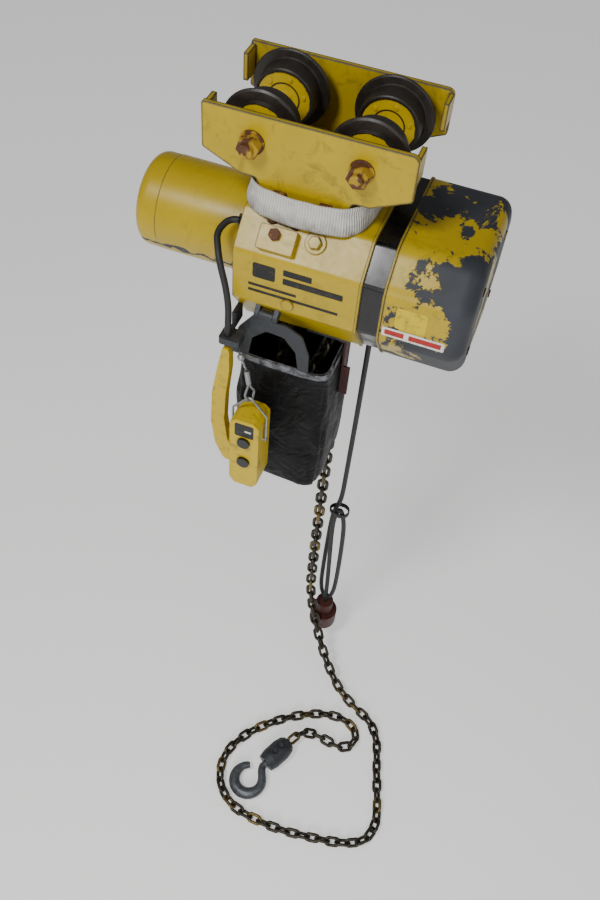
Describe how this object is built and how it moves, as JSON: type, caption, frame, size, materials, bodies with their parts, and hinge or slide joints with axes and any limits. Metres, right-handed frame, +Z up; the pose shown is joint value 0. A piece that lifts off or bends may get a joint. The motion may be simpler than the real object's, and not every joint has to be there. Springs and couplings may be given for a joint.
{
  "type": "electric chain hoist",
  "caption": "Electric chain hoist on a push trolley, with a chain bag, a hanging pendant switch, a long load chain and an open hook.",
  "frame": {"origin": "middle of the trolley between the four wheels, at the height where the wheel treads sit on the beam's bottom flange", "axes": "+X along the motor axis from the motor to the end cover, which is also the beam's direction; +Y away from the side the pendant hangs on; +Z up"},
  "size_m": [0.5537, 0.504, 1.286],
  "materials": {
    "yellow_paint": "semi-gloss, chipped and oily",
    "worn_yellow_paint": "yellow paint worn through to dark grey metal in large patches",
    "rusty_steel": "rusty",
    "greasy_iron": "black grease on treads and flanges, yellow painted hubs",
    "bright_steel": "plain",
    "core_steel": "plain",
    "gear_steel": "oiled",
    "grey_casting": "as cast",
    "grey_plastic": "plain",
    "black_plastic": "glossy",
    "yellow_plastic": "scuffed",
    "red_brown_plastic": "dull",
    "oiled_chain": "oily, a few rusty links",
    "coated_fabric": "rubber-coated fabric with a grey worn mouth",
    "dark_steel": "worn",
    "forged_steel": "forged, bare",
    "red_brown_strap": "dull",
    "black_cord": "matt",
    "white_webbing": "ribbed, dirty at the fold"
  },
  "bodies": {
    "hoist": {"trolley_plate_front": "yellow_paint", "trolley_plate_back": "yellow_paint", "axle_studs": "rusty_steel", "axle_nuts": "rusty_steel", "wheel_bearings": "bright_steel", "load_bolts": "rusty_steel", "suspension_bracket": "yellow_paint", "gear_frame": "yellow_paint", "spacer_band": "black_plastic", "end_cover": "worn_yellow_paint", "motor_barrel": "yellow_paint", "motor_end_cap": "yellow_paint", "case_screws": "rusty_steel", "anchor_block": "yellow_paint", "body_bolts": "rusty_steel", "oil_plugs": "yellow_paint", "stator": "core_steel", "brake_coil": "core_steel", "brake_springs": "bright_steel", "bearing_walls": "grey_casting", "shaft_bearings": "bright_steel", "contactors": "grey_plastic", "chain_guide": "grey_casting", "load_chain": "oiled_chain", "slack_chain": "oiled_chain", "bag_hinge": "dark_steel", "bag_keeper": "red_brown_strap", "control_cable": "black_cord", "cable_clamp": "dark_steel", "hook_block": "dark_steel", "cable_glands": "black_plastic", "supply_cord": "black_cord", "cord_hank": "black_cord", "supply_plug": "red_brown_plastic", "sling": "white_webbing"},
    "wheel_front_left": {"wheel_front_left": "greasy_iron"},
    "wheel_front_right": {"wheel_front_right": "greasy_iron"},
    "wheel_back_left": {"wheel_back_left": "greasy_iron"},
    "wheel_back_right": {"wheel_back_right": "greasy_iron"},
    "rotor": {"rotor": "core_steel", "brake_disc": "core_steel"},
    "idler": {"idler_gears": "gear_steel"},
    "sheave": {"load_sheave": "gear_steel", "sheave_gear": "gear_steel"},
    "brake_plate": {"brake_plate": "core_steel"},
    "limit_lever": {"limit_lever": "gear_steel"},
    "bag": {"chain_bag": "coated_fabric", "bag_rim": "coated_fabric", "bag_hanger": "dark_steel", "stowed_chain": "oiled_chain"},
    "pendant": {"pendant_case": "yellow_plastic", "pendant_cover": "yellow_plastic", "contact_block": "grey_plastic", "pendant_bail": "bright_steel", "strain_rope": "bright_steel", "rope_fittings": "bright_steel"},
    "button_raise": {"button_raise": "black_plastic"},
    "button_lower": {"button_lower": "black_plastic"},
    "hook": {"hook": "forged_steel", "hook_nut": "gear_steel"}
  },
  "joints": [
    {"name": "wheel_front_left_spin", "type": "hinge", "parent": "hoist", "child": "wheel_front_left", "pos_m": [-0.064, -0.0328, 0.0375], "axis": [0, 1, 0], "continuous": true},
    {"name": "wheel_front_right_spin", "type": "hinge", "parent": "hoist", "child": "wheel_front_right", "pos_m": [0.064, -0.0328, 0.0375], "axis": [0, 1, 0], "continuous": true},
    {"name": "wheel_back_left_spin", "type": "hinge", "parent": "hoist", "child": "wheel_back_left", "pos_m": [-0.064, 0.0328, 0.0375], "axis": [0, 1, 0], "continuous": true},
    {"name": "wheel_back_right_spin", "type": "hinge", "parent": "hoist", "child": "wheel_back_right", "pos_m": [0.064, 0.0328, 0.0375], "axis": [0, 1, 0], "continuous": true},
    {"name": "rotor_spin", "type": "hinge", "parent": "hoist", "child": "rotor", "pos_m": [-0.13, 0, -0.136], "axis": [1, 0, 0], "continuous": true},
    {"name": "idler_spin", "type": "hinge", "parent": "hoist", "child": "idler", "pos_m": [0.13, 0.04159, -0.15679], "axis": [1, 0, 0], "continuous": true},
    {"name": "sheave_spin", "type": "hinge", "parent": "hoist", "child": "sheave", "pos_m": [0.042, 0, -0.188], "axis": [1, 0, 0], "continuous": true},
    {"name": "brake_release", "type": "slide", "parent": "hoist", "child": "brake_plate", "axis": [1, 0, 0], "range_m": [0, 0.0003], "stiffness_N_per_m": 60000, "springref_m": -0.0005},
    {"name": "limit_lever_lift", "type": "hinge", "parent": "hoist", "child": "limit_lever", "pos_m": [0.042, 0.047, -0.245], "axis": [1, 0, 0], "range_deg": [-6, 0], "stiffness_Nm_per_rad": 0.3, "springref_deg": 8.59},
    {"name": "bag_swing", "type": "hinge", "parent": "hoist", "child": "bag", "pos_m": [-0.025, -0.11, -0.178], "axis": [1, 0, 0], "range_deg": [-3, 3]},
    {"name": "pendant_swing", "type": "hinge", "parent": "hoist", "child": "pendant", "pos_m": [-0.054, -0.134, -0.22], "axis": [0, 1, 0], "range_deg": [-12, 12]},
    {"name": "raise_press", "type": "slide", "parent": "pendant", "child": "button_raise", "axis": [0, 1, 0], "range_m": [0, 0.003], "stiffness_N_per_m": 900, "springref_m": -0.001},
    {"name": "lower_press", "type": "slide", "parent": "pendant", "child": "button_lower", "axis": [0, 1, 0], "range_m": [0, 0.003], "stiffness_N_per_m": 900, "springref_m": -0.001},
    {"name": "hook_swivel", "type": "hinge", "parent": "hoist", "child": "hook", "pos_m": [0.104, -0.222, -1.1735], "axis": [-0.4549, -0.8849, -0.1], "continuous": true}
  ],
  "couplings": [
    {"joint": "idler_spin", "follows": "rotor_spin", "ratio": -0.29167},
    {"joint": "sheave_spin", "follows": "rotor_spin", "ratio": 0.10746}
  ]
}
